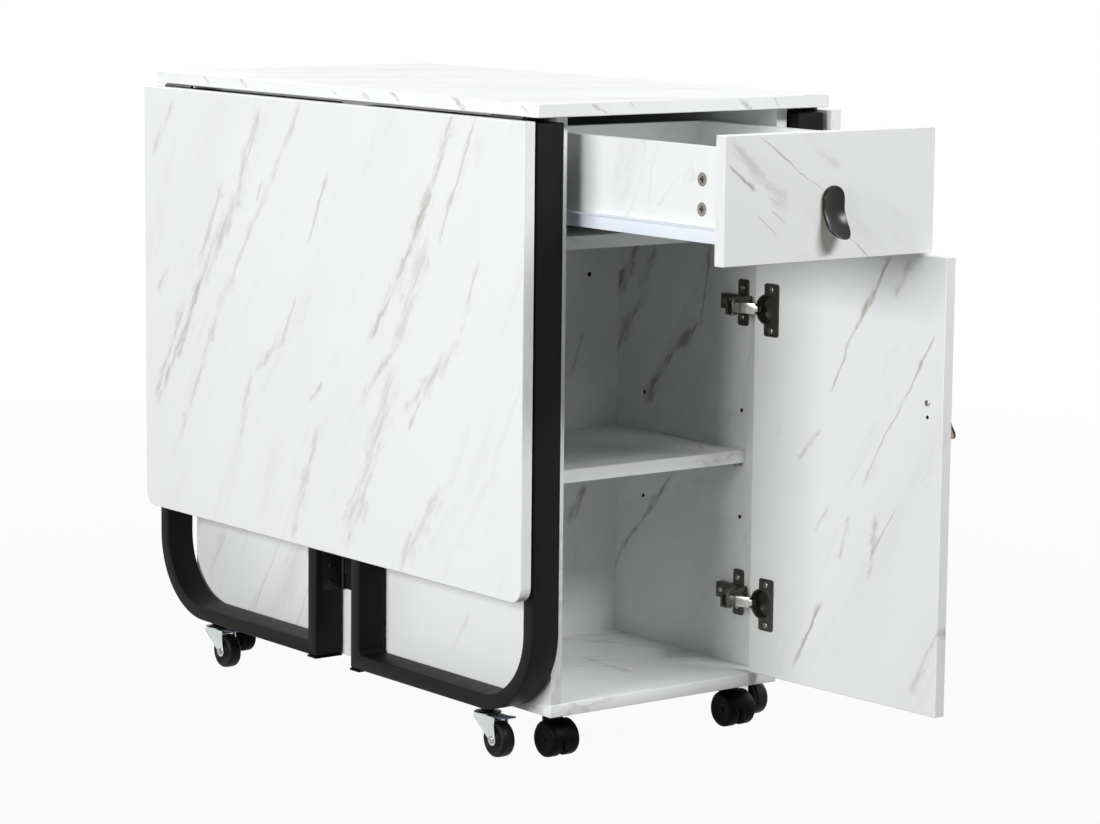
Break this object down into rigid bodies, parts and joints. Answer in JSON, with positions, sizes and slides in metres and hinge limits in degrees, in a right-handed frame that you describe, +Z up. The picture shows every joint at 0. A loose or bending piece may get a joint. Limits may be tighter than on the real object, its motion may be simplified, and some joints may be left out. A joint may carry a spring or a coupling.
{
  "type": "drop-leaf kitchen table",
  "caption": "Drop-leaf kitchen table on a rolling cabinet with a drawer, a hinged door, open rear bays and folding gate frames that hold the raised leaves.",
  "frame": {"origin": "on the floor, straight below the centre of the fixed tabletop", "axes": "+X to the right along the cabinet's front, +Y from the drawer front to the rear, +Z up from the floor"},
  "size_m": [0.4614, 1.0783, 0.75],
  "materials": {
    "laminate": "satin white laminate with grey marble veins on particle board",
    "black_tube": "satin black powder coat on steel tube",
    "dark_hinge_steel": "dark plated pressed steel",
    "gunmetal": "dark nickel plate",
    "nickel": "bright nickel plate",
    "zinc": "bright zinc plate",
    "white_enamel": "white enamelled pressed steel",
    "black_handle": "satin black enamel on cast zinc",
    "black_rubber": "black rubber tyre on a plastic hub",
    "dark_lever": "dark blue-grey enamel",
    "black_plastic": "moulded black plastic"
  },
  "bodies": {
    "cabinet": {"tabletop": "laminate", "side_panel_left": "laminate", "side_panel_right": "laminate", "bottom_board": "laminate", "drawer_divider": "laminate", "lower_partition": "laminate", "upper_partition": "laminate", "middle_shelf": "laminate", "rear_shelf": "laminate", "shelf_pins": "nickel", "cabinet_runners": "white_enamel", "door_hinge_arms": "gunmetal", "tabletop_hinge_plates": "dark_hinge_steel", "cabinet_hinge_plates": "dark_hinge_steel", "twin_caster_plates": "zinc"},
    "hinge_links": {"door_hinge_links": "nickel"},
    "drawer": {"drawer_front": "laminate", "drawer_side_left": "laminate", "drawer_side_right": "laminate", "drawer_back": "laminate", "drawer_bottom": "laminate", "drawer_runners": "white_enamel", "drawer_handle": "black_handle", "drawer_cams": "gunmetal"},
    "door": {"door_panel": "laminate", "door_hinge_cups": "gunmetal", "door_handle": "black_handle", "door_handle_screw": "nickel"},
    "leaf_left": {"leaf_left": "laminate", "leaf_hinge_plates_left": "dark_hinge_steel"},
    "leaf_right": {"leaf_right": "laminate", "leaf_hinge_plates_right": "dark_hinge_steel"},
    "gate_front_left": {"gate_frame_front_left": "black_tube", "gate_fittings_front_left": "dark_hinge_steel"},
    "fork_front_left": {"caster_fork_front_left": "zinc"},
    "wheel_front_left": {"caster_wheel_front_left": "black_rubber"},
    "brake_front_left": {"caster_brake_front_left": "dark_lever"},
    "twin_front_left": {"twin_hood_front_left": "black_plastic"},
    "twin_wheels_front_left": {"twin_wheels_front_left": "black_plastic"},
    "gate_rear_left": {"gate_frame_rear_left": "black_tube", "gate_fittings_rear_left": "dark_hinge_steel"},
    "fork_rear_left": {"caster_fork_rear_left": "zinc"},
    "wheel_rear_left": {"caster_wheel_rear_left": "black_rubber"},
    "brake_rear_left": {"caster_brake_rear_left": "dark_lever"},
    "twin_rear_left": {"twin_hood_rear_left": "black_plastic"},
    "twin_wheels_rear_left": {"twin_wheels_rear_left": "black_plastic"},
    "gate_front_right": {"gate_frame_front_right": "black_tube", "gate_fittings_front_right": "dark_hinge_steel"},
    "fork_front_right": {"caster_fork_front_right": "zinc"},
    "wheel_front_right": {"caster_wheel_front_right": "black_rubber"},
    "brake_front_right": {"caster_brake_front_right": "dark_lever"},
    "twin_front_right": {"twin_hood_front_right": "black_plastic"},
    "twin_wheels_front_right": {"twin_wheels_front_right": "black_plastic"},
    "gate_rear_right": {"gate_frame_rear_right": "black_tube", "gate_fittings_rear_right": "dark_hinge_steel"},
    "fork_rear_right": {"caster_fork_rear_right": "zinc"},
    "wheel_rear_right": {"caster_wheel_rear_right": "black_rubber"},
    "brake_rear_right": {"caster_brake_rear_right": "dark_lever"},
    "twin_rear_right": {"twin_hood_rear_right": "black_plastic"},
    "twin_wheels_rear_right": {"twin_wheels_rear_right": "black_plastic"}
  },
  "joints": [
    {"name": "drawer_slide", "type": "slide", "parent": "cabinet", "child": "drawer", "axis": [0, -1, 0], "range_m": [-0.268, 0.07]},
    {"name": "door_swing", "type": "hinge", "parent": "cabinet", "child": "door", "pos_m": [0.145, -0.3797, 0.3295], "axis": [0, 0, 1], "range_deg": [-93, 0]},
    {"name": "hinge_link_swing", "type": "hinge", "parent": "cabinet", "child": "hinge_links", "pos_m": [0.11, -0.3546, 0.3295], "axis": [0, 0, 1], "range_deg": [0, 43]},
    {"name": "leaf_left_fold", "type": "hinge", "parent": "cabinet", "child": "leaf_left", "pos_m": [-0.21275, 0, 0.732], "axis": [0, 1, 0], "range_deg": [0, 90]},
    {"name": "leaf_right_fold", "type": "hinge", "parent": "cabinet", "child": "leaf_right", "pos_m": [0.21275, 0, 0.732], "axis": [0, -1, 0], "range_deg": [0, 90]},
    {"name": "gate_swing_front_left", "type": "hinge", "parent": "cabinet", "child": "gate_front_left", "pos_m": [-0.171, -0.03, 0.3785], "axis": [0, 0, -1], "range_deg": [0, 0.7]},
    {"name": "caster_swivel_front_left", "type": "hinge", "parent": "gate_front_left", "child": "fork_front_left", "pos_m": [-0.19, -0.286, 0.045], "axis": [0, 0, 1], "continuous": true},
    {"name": "caster_spin_front_left", "type": "hinge", "parent": "fork_front_left", "child": "wheel_front_left", "pos_m": [-0.19, -0.308, 0.021], "axis": [1, 0, 0], "continuous": true},
    {"name": "brake_press_front_left", "type": "hinge", "parent": "fork_front_left", "child": "brake_front_left", "pos_m": [-0.19, -0.307, 0.0453], "axis": [1, 0, 0], "range_deg": [0, 10]},
    {"name": "twin_swivel_front_left", "type": "hinge", "parent": "cabinet", "child": "twin_front_left", "pos_m": [-0.132, -0.3325, 0.045], "axis": [0, 0, 1], "continuous": true},
    {"name": "twin_spin_front_left", "type": "hinge", "parent": "twin_front_left", "child": "twin_wheels_front_left", "pos_m": [-0.132, -0.3405, 0.0205], "axis": [1, 0, 0], "continuous": true},
    {"name": "gate_swing_rear_left", "type": "hinge", "parent": "cabinet", "child": "gate_rear_left", "pos_m": [-0.171, 0.038, 0.3785], "axis": [0, 0, 1], "range_deg": [0, 0.7]},
    {"name": "caster_swivel_rear_left", "type": "hinge", "parent": "gate_rear_left", "child": "fork_rear_left", "pos_m": [-0.19, 0.294, 0.045], "axis": [0, 0, 1], "continuous": true},
    {"name": "caster_spin_rear_left", "type": "hinge", "parent": "fork_rear_left", "child": "wheel_rear_left", "pos_m": [-0.19, 0.272, 0.021], "axis": [1, 0, 0], "continuous": true},
    {"name": "brake_press_rear_left", "type": "hinge", "parent": "fork_rear_left", "child": "brake_rear_left", "pos_m": [-0.19, 0.273, 0.0453], "axis": [1, 0, 0], "range_deg": [0, 10]},
    {"name": "twin_swivel_rear_left", "type": "hinge", "parent": "cabinet", "child": "twin_rear_left", "pos_m": [-0.132, 0.351, 0.045], "axis": [0, 0, 1], "continuous": true},
    {"name": "twin_spin_rear_left", "type": "hinge", "parent": "twin_rear_left", "child": "twin_wheels_rear_left", "pos_m": [-0.132, 0.343, 0.0205], "axis": [1, 0, 0], "continuous": true},
    {"name": "gate_swing_front_right", "type": "hinge", "parent": "cabinet", "child": "gate_front_right", "pos_m": [0.171, -0.03, 0.3785], "axis": [0, 0, 1], "range_deg": [0, 0.7]},
    {"name": "caster_swivel_front_right", "type": "hinge", "parent": "gate_front_right", "child": "fork_front_right", "pos_m": [0.19, -0.286, 0.045], "axis": [0, 0, 1], "continuous": true},
    {"name": "caster_spin_front_right", "type": "hinge", "parent": "fork_front_right", "child": "wheel_front_right", "pos_m": [0.19, -0.308, 0.021], "axis": [1, 0, 0], "continuous": true},
    {"name": "brake_press_front_right", "type": "hinge", "parent": "fork_front_right", "child": "brake_front_right", "pos_m": [0.19, -0.307, 0.0453], "axis": [1, 0, 0], "range_deg": [0, 10]},
    {"name": "twin_swivel_front_right", "type": "hinge", "parent": "cabinet", "child": "twin_front_right", "pos_m": [0.132, -0.3325, 0.045], "axis": [0, 0, 1], "continuous": true},
    {"name": "twin_spin_front_right", "type": "hinge", "parent": "twin_front_right", "child": "twin_wheels_front_right", "pos_m": [0.132, -0.3405, 0.0205], "axis": [1, 0, 0], "continuous": true},
    {"name": "gate_swing_rear_right", "type": "hinge", "parent": "cabinet", "child": "gate_rear_right", "pos_m": [0.171, 0.038, 0.3785], "axis": [0, 0, -1], "range_deg": [0, 0.7]},
    {"name": "caster_swivel_rear_right", "type": "hinge", "parent": "gate_rear_right", "child": "fork_rear_right", "pos_m": [0.19, 0.294, 0.045], "axis": [0, 0, 1], "continuous": true},
    {"name": "caster_spin_rear_right", "type": "hinge", "parent": "fork_rear_right", "child": "wheel_rear_right", "pos_m": [0.19, 0.272, 0.021], "axis": [1, 0, 0], "continuous": true},
    {"name": "brake_press_rear_right", "type": "hinge", "parent": "fork_rear_right", "child": "brake_rear_right", "pos_m": [0.19, 0.273, 0.0453], "axis": [1, 0, 0], "range_deg": [0, 10]},
    {"name": "twin_swivel_rear_right", "type": "hinge", "parent": "cabinet", "child": "twin_rear_right", "pos_m": [0.132, 0.351, 0.045], "axis": [0, 0, 1], "continuous": true},
    {"name": "twin_spin_rear_right", "type": "hinge", "parent": "twin_rear_right", "child": "twin_wheels_rear_right", "pos_m": [0.132, 0.343, 0.0205], "axis": [1, 0, 0], "continuous": true}
  ],
  "couplings": [
    {"joint": "hinge_link_swing", "follows": "door_swing", "ratio": -0.46}
  ]
}
